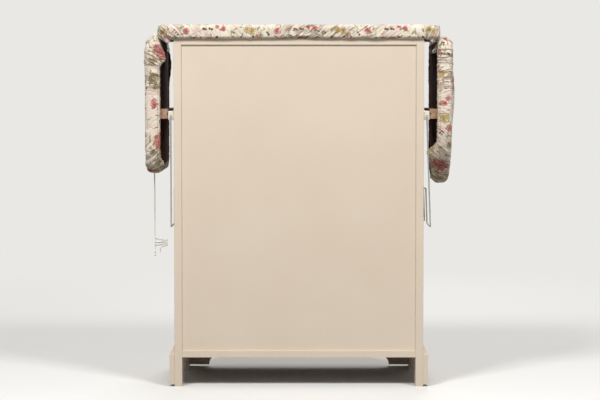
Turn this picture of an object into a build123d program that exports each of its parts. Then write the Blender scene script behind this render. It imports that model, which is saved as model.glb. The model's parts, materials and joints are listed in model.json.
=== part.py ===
# A painted sewing and pressing cabinet: a padded top, two padded drop leaves held up by swinging
# wire props, one drawer over two panelled doors, and a bracket-foot plinth on front and sides.
# X runs along the width, +Y points to the front with the drawer and doors, +Z is up.
# The right-hand side is modelled and mirrored for the left. All sizes are millimetres.
from build123d import *
from math import asin, cos, degrees, radians, sqrt, tan
import os

# carcass
body_width = 620.0          # over the two side panels
body_depth = 360.0
deck_height = 865.5         # top of the carcass, which the padded top rests on
side_thickness = 19.0
top_thickness = 15.0
bottom_thickness = 16.0
bottom_height = 73.0        # underside of the bottom board
back_thickness = 6.0
back_recess = 4.0           # the back panel lies in from the back edges
back_groove = 6.0           # depth of the groove that holds it
groove_fit = 0.2
edge_round = 1.2            # on the case's and the doors' outer edges
rail_thickness = 19.0       # front rails, doors and drawer front
drawer_opening = 150.5      # height between the top board and the rail under the drawer
drawer_rail_depth = 60.0
runner_width = 30.0
shelf_thickness = 16.0
shelf_height = 385.0
shelf_front_gap = 24.0      # between the shelf and the closed doors
shelf_round = 1.0
peg_diameter = 5.0
peg_length = 18.0
peg_seat = 10.0             # how deep a shelf peg sits in the side panel
peg_end_distance = 60.0

# bracket-foot plinth
plinth_thickness = 12.5
plinth_top = 80.0
plinth_lift = 5.0           # the applied boards end above the floor
cap_height = 23.0
cap_lip = 1.0               # thickness left at the top of the sloping cap
cap_setback = 2.5           # the cap stops short of the body's back edge
front_rail_rise = 1.0       # the front rail stands above the cap
foot_length = 70.0
foot_arch = 30.0            # height of the cut between two feet
arch_round = 24.0

# padded top and leaves
pad_overhang = 41.0         # past the side panels
pad_front_overhang = 10.5   # past the carcass's front and back
pad_thickness = 34.5
pad_corner = 26.0           # corner radius seen from above
pad_roll = 11.0             # rounding of the padded edge
board_thickness = 12.0
board_inset = 13.0          # padding round the edge of a board
leaf_gap = 0.6              # between a raised leaf and the top
leaf_length_left = 328.0    # a hanging leaf, from top to bottom
leaf_length_right = 358.0
leaf_hinge_corner = 16.0
leaf_corner_left = 55.0
leaf_nose_right = 150.0     # length of the right leaf's rounded ironing-board end
batten_depth = 20.0
batten_height = 24.0
batten_end_gap = 6.0        # between the batten's end and the board's edge
batten_chamfer = 1.5

# leaf hinges
leaf_knuckle_radius = 3.15
leaf_hinge_plate = 1.5
leaf_hinge_length = 60.0
leaf_hinge_reach = 28.0
leaf_hinge_spacing = 240.0
leaf_hinge_inset = 4.25     # hinge axis inside the padded top's end
leaf_pin_radius = 1.5
pin_fit = 0.05              # radial clearance of a hinge pin
pin_end = 1.0               # the pin stands out of its end knuckles
knuckle_gap = 0.4

# side rails and wire props
side_rail_thickness = 14.0
side_rail_height = 22.0
side_rail_drop = 190.0      # from the deck to its middle, which the prop swings about
side_rail_end = 4.0         # the rail stops short of the body's front and back
side_rail_round = 1.2
screw_head = 8.0
screw_shank = 4.0
screw_length = 26.0
screw_spacing = 130.0
wire_diameter = 3.5
wire_bend = 4.0             # bend radius at the middle of the wire
wire_fit = 0.1              # radial clearance of the wire in the rail
wire_hook = 20.0            # length of wire inside the rail
wire_hole_spare = 2.0       # the hole runs deeper than the hook
wire_rail_gap = 0.3         # the bend starts this far outside the rail
prop_length = 276.0         # from the rail's hole to the prop's bar
prop_bar = 130.0            # bar length from each leg to the finger bow
prop_bow = 88.0             # the finger bow stands up this far
prop_lean_right = 2.0       # the right-hand prop hangs a little outwards, degrees
seat_clearance = 0.4        # round the bar in its groove
seat_depth = 2.2            # depth of the bar's groove in the batten
seat_slope = 21.0           # slope of the groove's outer wall, degrees
seat_wall = 0.9             # upright part of its inner wall, which then opens for the finger bow

# doors
door_gap = 2.0
door_middle_gap = 3.0
door_stile = 48.0
door_panel_thickness = 9.0
door_panel_back = 4.0       # panel's back face from the back of the frame
door_panel_groove = 8.0
door_panel_bevel = 26.0
door_panel_drop = 3.5       # fall of the bevel round the raised field
frame_chamfer = 4.0
door_hinge_length = 50.0
door_hinge_plate = 0.9
door_hinge_reach = 16.0
door_hinge_end = 75.0       # from the door's ends to the hinge's middle
door_hinge_proud = 0.3      # barrel in front of the door
door_knuckle_radius = 2.6
door_pin_radius = 1.2
door_knob_height = 430.0
catch_width = 46.0
catch_depth = 14.0
catch_height = 12.0
catch_gap = 0.3
strike_thickness = 1.2
strike_inset = 2.0

# drawer
drawer_gap = 2.0
drawer_tail_gap = 31.0      # between the drawer and the back panel
drawer_wall = 12.0
drawer_wall_height = 112.0
drawer_back_drop = 8.0      # the back ends below the sides' upper edge
drawer_floor = 5.0
drawer_floor_lift = 10.0    # the floor's groove above the sides' lower edge
drawer_floor_groove = 5.0
drawer_knob_spacing = 300.0
running_gap = 0.3           # between the drawer and its runners

# turned knobs
knob_diameter = 30.0
knob_length = 25.0
knob_neck = 13.0
knob_base = 19.0
knob_dome = 8.0

# drawstrings of the covers
cord_diameter = 2.6
cord_stub = 1.6             # tubes start this far above the point they swing about
cord_drop = 2.4             # which lies this far below the hem
cord_exit_y = -119.0
cord_spread = 3.4           # between the two cords where they leave the hem
knot_width = 5.6
knot_height = 6.0
hank_width = 34.0
hank_depth = 15.0
hank_height = 18.0
hank_y = -114.5
hank_drop = 165.9           # from the point the cords swing about to the hank
bow_cord = 2.4
bow_loop_length = 10.4      # over all, as is the width
bow_loop_width = 7.4
bow_knot = 5.0
bow_y = -154.0
bow_drop = 21.8             # below the leaf's upper end
bow_standoff = 9.0          # bow's middle from the leaf's inner face

# worked out from the sizes above
half_width = body_width / 2
half_depth = body_depth / 2
inner_half = half_width - side_thickness
pad_width = body_width + 2 * pad_overhang
pad_depth = body_depth + 2 * pad_front_overhang
runner_top = deck_height - top_thickness - drawer_opening
drawer_rail_height = runner_top - rail_thickness            # underside of the rail over the doors
side_rail_middle = deck_height - side_rail_drop
cap_top = plinth_top + cap_height
front_rail_top = cap_top + front_rail_rise
door_bottom = front_rail_top + door_gap
door_top = drawer_rail_height - door_gap
door_back = half_depth - rail_thickness
door_side = inner_half - door_gap
panel_back = -half_depth + back_recess
panel_front = panel_back + back_thickness
pad_end = pad_width / 2
middle_y = (pad_depth / 2 - half_depth - knob_length) / 2   # centres the whole base on the origin

hinge_rise = leaf_knuckle_radius - leaf_hinge_plate
axis_x = pad_end - leaf_hinge_inset
axis_z = deck_height + hinge_rise
leaf_inner = axis_x - hinge_rise                            # inner face of a hanging leaf
leaf_top = axis_z - leaf_hinge_inset - leaf_gap
door_axis_x = door_side + door_gap / 2
door_axis_y = half_depth + door_knuckle_radius + door_hinge_proud
prop_x = half_width + side_rail_thickness / 2
rail_end_y = half_depth - side_rail_end
leg_y = rail_end_y + wire_bend + wire_rail_gap
seated_height = deck_height - batten_depth + seat_depth - wire_diameter / 2 - seat_clearance
prop_rise = asin((seated_height - side_rail_middle) / prop_length)
batten_middle = axis_z - (prop_x + prop_length * cos(prop_rise) - axis_x)
hem_x = -leaf_inner - pad_thickness / 2
swing_height = leaf_top - leaf_length_left - cord_drop
hank_top = swing_height - hank_drop
bow_height = leaf_top - bow_drop

parts = {}


def block(x0, x1, y0, y1, z0, z1, rounding=0.0):
    solid = Pos((x0 + x1) / 2, (y0 + y1) / 2, (z0 + z1) / 2) * Box(x1 - x0, y1 - y0, z1 - z0)
    return fillet(solid.edges(), rounding) if rounding else solid


def rod(start, end, radius):
    axis = Vector(*end) - Vector(*start)
    standing = Cylinder(radius, axis.length, align=(Align.CENTER, Align.CENTER, Align.MIN))
    return Plane(start, z_dir=axis) * standing


def mirrored(shape):
    return mirror(shape, about=Plane.YZ)


def pair(right):
    # the same solids on both sides, in one node
    return Compound(right + [mirrored(solid) for solid in right])


def both_sides(name, right):
    parts[name + "_right"] = right
    parts[name + "_left"] = mirrored(right)


# ---- carcass ----
def back_slot(z0, z1, reach):
    return block(-reach, reach, panel_back - groove_fit, panel_front + groove_fit, z0, z1)


def arch(length, thickness):
    # a flat-topped cut with rounded shoulders, along X and centred on the floor
    return extrude(Plane.XZ * RectangleRounded(length, 2 * foot_arch, arch_round), thickness, both=True)


def peg_places():
    front = door_back - shelf_front_gap
    z = shelf_height - peg_diameter / 2
    return [(panel_front + peg_end_distance, z), (front - peg_end_distance, z)]


def rail_screws():
    # countersunk screws, driven from the rail's outer face into the side panel
    outer = half_width + side_rail_thickness
    sink = (screw_head - screw_shank) / 2
    screws = []
    for y in (-screw_spacing, 0, screw_spacing):
        shank = rod((outer - screw_length, y, side_rail_middle), (outer - sink, y, side_rail_middle),
                    screw_shank / 2)
        head = Plane((outer - sink, y, side_rail_middle), z_dir=(1, 0, 0)) * Cone(
            screw_shank / 2, screw_head / 2, sink, align=(Align.CENTER, Align.CENTER, Align.MIN))
        screws.append(shank + head)
    return screws


def side_panel():
    panel = block(inner_half, half_width, -half_depth, half_depth, 0, deck_height)
    panel = fillet(panel.edges().filter_by(Axis.Z), edge_round)
    between_feet = arch(body_depth - 2 * foot_length, side_thickness)
    panel -= Pos(half_width - side_thickness / 2, 0, 0) * Rot(0, 0, 90) * between_feet
    panel -= back_slot(bottom_height + bottom_thickness - back_groove,
                       deck_height - top_thickness + back_groove, inner_half + back_groove)
    for y, z in peg_places():
        panel -= rod((inner_half - 1, y, z), (inner_half + peg_seat, y, z), peg_diameter / 2 + pin_fit)
    return panel - rail_screws()


def carcass():
    both_sides("side_panel", side_panel())
    slot_bottom = bottom_height + bottom_thickness - back_groove
    slot_top = deck_height - top_thickness + back_groove
    top = block(-inner_half, inner_half, -half_depth, half_depth, deck_height - top_thickness, deck_height)
    parts["top_board"] = top - back_slot(bottom_height, slot_top, body_width)
    bottom = block(-inner_half, inner_half, -half_depth, door_back,
                   bottom_height, bottom_height + bottom_thickness)
    parts["bottom_board"] = bottom - back_slot(slot_bottom, deck_height, body_width)
    edge = inner_half + back_groove - groove_fit
    parts["back_panel"] = block(-edge, edge, panel_back, panel_front, slot_bottom, slot_top - groove_fit)
    parts["front_rail"] = block(-inner_half, inner_half, door_back, half_depth, bottom_height, front_rail_top)
    rail_back = half_depth - drawer_rail_depth
    parts["drawer_rail"] = block(-inner_half, inner_half, rail_back, half_depth,
                                 drawer_rail_height, runner_top)
    both_sides("drawer_runner", block(inner_half - runner_width, inner_half, panel_front, rail_back,
                                      drawer_rail_height, runner_top))


def shelf():
    side = inner_half - groove_fit
    parts["shelf"] = block(-side, side, panel_front + groove_fit, door_back - shelf_front_gap,
                           shelf_height, shelf_height + shelf_thickness, shelf_round)
    seat = inner_half + peg_seat
    parts["shelf_pegs"] = pair([rod((seat - peg_length, y, z), (seat, y, z), peg_diameter / 2)
                                for y, z in peg_places()])


# ---- plinth ----
def cap_profile(inner):
    # upright back and a sloping face, standing on the plinth board
    return make_face(Polyline((inner, plinth_top), (inner + plinth_thickness, plinth_top),
                              (inner + cap_lip, cap_top), (inner, cap_top), close=True))


def plinth():
    outer_x = half_width + plinth_thickness
    outer_y = half_depth + plinth_thickness
    front = block(-outer_x, outer_x, half_depth, outer_y, plinth_lift, plinth_top)
    front -= Pos(0, half_depth, 0) * arch(body_width - 2 * foot_length, 2 * plinth_thickness)
    front_cap = extrude(Plane.YZ * cap_profile(half_depth), outer_x, both=True)
    side = block(half_width, outer_x, -half_depth, outer_y, plinth_lift, plinth_top)
    side_arch = Rot(0, 0, 90) * arch(body_depth - 2 * foot_length, 2 * plinth_thickness)
    side -= Pos(half_width, 0, 0) * side_arch
    from_front = Plane((0, outer_y, 0), x_dir=(1, 0, 0), z_dir=(0, -1, 0))
    side_cap = extrude(from_front * cap_profile(half_width), outer_y + half_depth - cap_setback)
    # the mitre plane stands on the body's front corner and runs out at 45 degrees
    corner = Pos(half_width, half_depth, 0) * Rot(0, 0, 45)
    reach = 4 * body_width
    behind = corner * Box(reach, reach, reach, align=(Align.CENTER, Align.MAX, Align.CENTER))
    ahead = corner * Box(reach, reach, reach, align=(Align.CENTER, Align.MIN, Align.CENTER))
    both_sides("plinth_board", side & behind)
    both_sides("plinth_cap", side_cap & behind)
    parts["plinth_board_front"] = front & ahead & mirrored(ahead)
    parts["plinth_cap_front"] = front_cap & ahead & mirrored(ahead)


# ---- padded top and leaves ----
def top_outline(inset=0.0):
    return RectangleRounded(pad_width - 2 * inset, pad_depth - 2 * inset, pad_corner - inset)


def round_hinge_corners(outline, inset):
    return fillet(outline.vertices().sort_by(Axis.X)[:2], leaf_hinge_corner - inset)


def leaf_outline_left(inset=0.0):
    # a rectangle from the hinge along X, with two well rounded outer corners
    flat = Rectangle(leaf_length_left - 2 * inset, pad_depth - 2 * inset)
    flat = Pos(leaf_length_left / 2, 0) * flat
    flat = fillet(flat.vertices().sort_by(Axis.X)[-2:], leaf_corner_left - inset)
    return round_hinge_corners(flat, inset)


def leaf_outline_right(inset=0.0):
    # straight sides, then half an ellipse
    shoulder = leaf_length_right - leaf_nose_right
    width = pad_depth - 2 * inset
    straight = Pos((inset + shoulder) / 2, 0) * Rectangle(shoulder - inset, width)
    outline = straight + Pos(shoulder, 0) * Ellipse(leaf_nose_right - inset, width / 2)
    return round_hinge_corners(outline, inset)


def padded_board(outline):
    # lies face up with its underside at z = 0; the padding wraps the board's edge
    pad = extrude(outline(), pad_thickness)
    pad = fillet(pad.faces().sort_by(Axis.Z)[-1].edges(), pad_roll)
    board = extrude(outline(board_inset), board_thickness)
    return pad - board, board


def batten():
    # under a lying leaf; the prop's bar seats in the groove along its lower face
    middle = leaf_top - batten_middle
    length = pad_depth - 2 * (board_inset + batten_end_gap)
    bar = Pos(middle, 0, -batten_depth / 2) * Box(batten_height, length, batten_depth)
    bar = chamfer(bar.edges().filter_by(Axis.Y).group_by(Axis.Z)[0], batten_chamfer)
    inner = middle - wire_diameter / 2 - seat_clearance
    floor = seat_depth - batten_depth
    lip = middle + seat_depth / tan(radians(seat_slope))
    below = -batten_depth - 1
    splay = inner - (seat_depth - seat_wall)
    groove = make_face(Polyline((splay, below), (splay, -batten_depth), (inner, floor - seat_wall),
                                (inner, floor), (middle, floor), (lip, -batten_depth), (lip, below),
                                close=True))
    return bar - extrude(Plane.XZ * groove, length, both=True)


def hang(lying):
    # turns a lying leaf down on the right-hand side: +X points down and its top faces outwards
    return Plane((leaf_inner, 0, leaf_top), x_dir=(0, 0, -1), z_dir=(1, 0, 0)) * lying


def hinge_places():
    return (-leaf_hinge_spacing / 2, leaf_hinge_spacing / 2)


def padded_top():
    pad, board = padded_board(top_outline)
    room = leaf_knuckle_radius + knuckle_gap
    notch = Box(2 * (leaf_hinge_inset + room), leaf_hinge_length + 3 * pin_end, 2 * room)
    for x in (-pad_end, pad_end):
        for y in hinge_places():
            pad -= Pos(x, y, hinge_rise) * notch
    parts["top_pad"] = Pos(0, 0, deck_height) * pad
    parts["top_pad_board"] = Pos(0, 0, deck_height) * board


def leaves():
    for side, outline in (("right", leaf_outline_right), ("left", leaf_outline_left)):
        pad, board = padded_board(outline)
        for name, lying in (("leaf_pad_", pad), ("leaf_board_", board), ("leaf_batten_", batten())):
            hanging = hang(lying)
            parts[name + side] = hanging if side == "right" else mirrored(hanging)


# ---- hinges ----
def hinge_half(length, reach, plate, offset, radius, pin_radius, end_knuckles):
    # the axis is Z and the plate runs to -Y, from x = offset; three knuckles in all
    half = block(offset, offset + plate, -reach, 0, -length / 2, length / 2) + Cylinder(radius, length)
    wide = 2 * (radius + knuckle_gap)
    third = length / 3
    if end_knuckles:
        half -= Box(wide, wide, third + knuckle_gap)
    else:
        for end in (-third, third):
            half -= Pos(0, 0, end) * Box(wide, wide, third + knuckle_gap)
    return half - Cylinder(pin_radius + pin_fit, 2 * length)


def leaf_hinges():
    sizes = (leaf_hinge_length, leaf_hinge_reach, leaf_hinge_plate, -leaf_knuckle_radius,
             leaf_knuckle_radius, leaf_pin_radius)
    fixed, moving, pins = [], [], []
    for y in hinge_places():
        place = (axis_x, y, axis_z)
        # under the top's overhang, plate level; on the leaf, plate hanging
        fixed.append(Plane(place, x_dir=(0, 0, 1), z_dir=(0, 1, 0)) * hinge_half(*sizes, True))
        moving.append(Plane(place, x_dir=(1, 0, 0), z_dir=(0, -1, 0)) * hinge_half(*sizes, False))
        half = leaf_hinge_length / 2 + pin_end
        pins.append(rod((axis_x, y - half, axis_z), (axis_x, y + half, axis_z), leaf_pin_radius))
    parts["leaf_hinge_fixed"] = pair(fixed)
    both_sides("leaf_hinge_moving", Compound(moving))
    parts["leaf_hinge_pins"] = pair(pins)


def door_hinges():
    sizes = (door_hinge_length, door_hinge_reach, door_hinge_plate)
    barrel = (door_knuckle_radius, door_pin_radius)
    fixed, moving, pins = [], [], []
    for z in (door_bottom + door_hinge_end, door_top - door_hinge_end):
        place = Pos(door_axis_x, door_axis_y, z)
        on_panel = door_gap / 2 - door_hinge_plate
        fixed.append(place * hinge_half(*sizes, on_panel, *barrel, True))
        moving.append(place * hinge_half(*sizes, -door_gap / 2, *barrel, False))
        half = door_hinge_length / 2 + pin_end
        pins.append(rod((door_axis_x, door_axis_y, z - half), (door_axis_x, door_axis_y, z + half),
                        door_pin_radius))
    parts["door_hinge_fixed"] = pair(fixed)
    both_sides("door_hinge_moving", Compound(moving))
    parts["door_hinge_pins"] = pair(pins)


# ---- side rails and wire props ----
def side_rails():
    rail = block(half_width, half_width + side_rail_thickness, -rail_end_y, rail_end_y,
                 side_rail_middle - side_rail_height / 2, side_rail_middle + side_rail_height / 2,
                 side_rail_round)
    screws = rail_screws()
    rail -= screws
    hole = wire_hook + wire_hole_spare
    for end in (-1, 1):
        rail -= rod((prop_x, end * (rail_end_y - hole), side_rail_middle),
                    (prop_x, end * half_depth, side_rail_middle), wire_diameter / 2 + wire_fit)
    both_sides("side_rail", rail)
    parts["side_rail_screws"] = pair(screws)


def prop_wire(lean):
    # hooks into both ends of the rail, hangs down, and its bar steps up into a finger bow
    bar_z = side_rail_middle - prop_length
    near_half = [(rail_end_y - wire_hook, side_rail_middle), (leg_y, side_rail_middle), (leg_y, bar_z),
                 (leg_y - prop_bar, bar_z), (leg_y - prop_bar, bar_z + prop_bow)]
    route = [(prop_x, -y, z) for y, z in near_half] + [(prop_x, y, z) for y, z in reversed(near_half)]
    path = FilletPolyline(*route, radius=wire_bend)
    section = Plane(route[0], z_dir=(0, -1, 0)) * Circle(wire_diameter / 2)
    wire = sweep(section, path=path)
    return wire.rotate(Axis((prop_x, 0, side_rail_middle), (0, 1, 0)), -lean)


def props():
    parts["prop_wire_right"] = prop_wire(prop_lean_right)
    parts["prop_wire_left"] = mirrored(prop_wire(0))


# ---- knobs, doors and drawer ----
def knob(x, z):
    # turned about Y: foot, neck, mushroom head
    neck, head, foot = knob_neck / 2, knob_diameter / 2, knob_base / 2
    rise = 0.1 * knob_length
    waist = (neck, 0.42 * knob_length)
    brim = (head, knob_length - knob_dome)
    dome_radius = (head ** 2 + knob_dome ** 2) / (2 * knob_dome)
    dome = (head / 2, knob_length - dome_radius + sqrt(dome_radius ** 2 - head ** 2 / 4))
    face = make_face([Line((0, 0), (foot, 0)), Line((foot, 0), (foot, rise)),
                      ThreePointArc((foot, rise), (neck + 0.4, 0.24 * knob_length), waist),
                      ThreePointArc(waist, (0.62 * head, 0.56 * knob_length), brim),
                      ThreePointArc(brim, dome, (0, knob_length)),
                      Line((0, knob_length), (0, 0))])
    return Pos(x, half_depth, z) * revolve(face, Axis.Y)


def door():
    x0, x1 = door_middle_gap / 2, door_side
    frame = block(x0, x1, door_back, half_depth, door_bottom, door_top)
    frame = fillet(frame.faces().sort_by(Axis.Y)[-1].edges(), edge_round)
    hole = (x0 + door_stile, x1 - door_stile, door_bottom + door_stile, door_top - door_stile)
    frame -= block(hole[0], hole[1], door_back - 1, half_depth + 1, hole[2], hole[3])
    front = frame.faces().sort_by(Axis.Y)[-1]
    frame = chamfer(front.inner_wires()[0].edges(), frame_chamfer)
    tongue = door_panel_groove - groove_fit
    rim = door_panel_thickness - door_panel_drop
    back = door_back + door_panel_back
    slope = door_panel_drop / door_panel_bevel
    reach = door_panel_groove
    frame -= block(hole[0] - reach, hole[1] + reach, back - groove_fit,
                   back + rim + reach * slope + groove_fit, hole[2] - reach, hole[3] + reach)
    wide = hole[1] - hole[0] + 2 * tongue
    tall = hole[3] - hole[2] + 2 * tongue
    lying = Plane(((hole[0] + hole[1]) / 2, back, (hole[2] + hole[3]) / 2), x_dir=(-1, 0, 0), z_dir=(0, 1, 0))
    panel = extrude(lying * Rectangle(wide, tall), rim)
    low = lying.offset(rim) * Rectangle(wide, tall)
    high = lying.offset(door_panel_thickness) * Rectangle(wide - 2 * door_panel_bevel,
                                                          tall - 2 * door_panel_bevel)
    panel += loft([low.face(), high.face()])
    both_sides("door_frame", frame)
    both_sides("door_panel", panel)
    both_sides("door_knob", knob(x0 + door_stile / 2, door_knob_height))


def door_catches():
    front = door_back - strike_thickness - catch_gap
    parts["door_catch"] = block(-catch_width / 2, catch_width / 2, front - catch_depth, front,
                                drawer_rail_height - catch_height, drawer_rail_height)
    low = drawer_rail_height - catch_height
    both_sides("catch_plate", block(door_middle_gap / 2 + strike_inset, catch_width / 2,
                                    door_back - strike_thickness, door_back, low, door_top - strike_inset))


def drawer():
    bottom = runner_top + running_gap
    side_top = bottom + drawer_wall_height
    floor_z = bottom + drawer_floor_lift
    back_y = panel_front + drawer_tail_gap
    inner_x = door_side - drawer_wall
    groove_x = inner_x + drawer_floor_groove
    groove = block(-groove_x, groove_x, back_y - 1, door_back + drawer_floor_groove,
                   floor_z - groove_fit, floor_z + drawer_floor + groove_fit)
    front = block(-door_side, door_side, door_back, half_depth, runner_top + drawer_gap,
                  deck_height - top_thickness - drawer_gap)
    front = chamfer(front.faces().sort_by(Axis.Y)[-1].edges(), frame_chamfer / 2)
    parts["drawer_front"] = front - groove
    both_sides("drawer_side", block(inner_x, door_side, back_y, door_back, bottom, side_top) - groove)
    parts["drawer_back"] = block(-inner_x, inner_x, back_y, back_y + drawer_wall,
                                 floor_z + drawer_floor, side_top - drawer_back_drop)
    edge = groove_x - groove_fit
    parts["drawer_floor"] = block(-edge, edge, back_y, door_back + drawer_floor_groove - groove_fit,
                                  floor_z, floor_z + drawer_floor)
    middle = (runner_top + deck_height - top_thickness) / 2
    parts["drawer_knobs"] = pair([knob(drawer_knob_spacing / 2, middle)])


# ---- drawstrings ----
def cord(name, points):
    # straight runs joined by arcs as large as the runs allow
    runs = [Vector(*end) - Vector(*start) for start, end in zip(points, points[1:])]
    radii = [0.45 * min(a.length, b.length) / tan(radians(a.get_angle(b) / 2)) for a, b in zip(runs, runs[1:])]
    path = FilletPolyline(*points, radius=radii)
    tube = sweep(Plane(points[0], z_dir=runs[0]) * Circle(cord_diameter / 2), path=path)
    section = radians(180) * (cord_diameter / 2) ** 2
    print(name, "radii", [round(r) for r in radii], "length", round(path.length, 1),
          "volume over section", round(tube.volume / section, 1))
    return tube


def left_drawstrings():
    # both ends leave the middle of the left leaf's lower hem and hang down
    top = swing_height + cord_stub
    straight_y = cord_exit_y - cord_spread / 2
    straight = [(hem_x, straight_y, top), (hem_x - 0.6, straight_y - 0.7, top - 50),
                (hem_x - 0.4, straight_y - 1.9, top - 105), (hem_x + 0.6, straight_y - 2.8, top - 154),
                (hem_x + 1.2, straight_y - 3.2, top - 195)]
    parts["drawstring_end"] = cord("straight", straight)
    x, y, z = straight[-1]
    knot = Pos(x, y, z - knot_height / 2) * Cylinder(knot_width / 2, knot_height)
    parts["drawstring_knot"] = fillet(knot.edges(), knot_width / 4)
    wound = [(hem_x, cord_exit_y + cord_spread / 2, top), (hem_x + 0.5, hank_y - 2.4, top - 40),
             (hem_x + 0.6, hank_y - 1.1, top - 85), (hem_x + 0.3, hank_y - 0.4, top - 130),
             (hem_x, hank_y, hank_top)]
    # the rest of the second one is wound in a small oval hank, with a short tail below
    middle_x = hem_x + (hank_width - cord_diameter) / 2
    low = hank_top - hank_height
    near = hank_y - (hank_depth - cord_diameter) / 2
    tail = [(middle_x, near, low), (middle_x - 0.5, near - 0.3, low - 5), (middle_x - 1.8, near - 0.8, low - 10)]
    parts["drawstring_wound"] = Compound([cord("wound", wound), cord("tail", tail)])
    inside = SlotOverall(hank_width - 2 * cord_diameter, hank_depth - 2 * cord_diameter)
    ring = SlotOverall(hank_width, hank_depth) - inside
    parts["drawstring_hank"] = Pos(middle_x, hank_y, low) * extrude(ring, hank_height)


def right_bow():
    # the right cover's drawstring is tied in a small bow on the leaf's inner face
    middle = Vector(leaf_inner - bow_standoff, bow_y, bow_height)
    bow = Pos(middle) * Sphere(bow_knot / 2) + rod(middle, (leaf_inner, bow_y, bow_height), bow_cord / 2)
    length, width = bow_loop_length - bow_cord, bow_loop_width - bow_cord
    for turn in (105, 250):
        ring = Plane.XZ * SlotOverall(length, width)
        start = Plane((0, 0, width / 2), z_dir=(1, 0, 0)) * Circle(bow_cord / 2)
        loop = sweep(start, path=ring.wires()[0])
        bow += Pos(middle) * Rot(0, -turn, 0) * Pos((length + bow_cord) / 2, 0, 0) * loop
    parts["drawstring_bow"] = bow


carcass()
shelf()
plinth()
padded_top()
leaves()
leaf_hinges()
side_rails()
props()
door()
door_hinges()
door_catches()
drawer()
left_drawstrings()
right_bow()

os.makedirs("parts", exist_ok=True)
for name, shape in parts.items():
    export_step(Pos(0, middle_y, 0) * shape, "parts/" + name + ".step")
print(len(parts), "parts, prop swings", round(90 + degrees(prop_rise), 2), "degrees, base offset", middle_y)
print("leaf hinge axis", axis_x, axis_z, "door hinge axis", door_axis_x, door_axis_y + middle_y)
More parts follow.
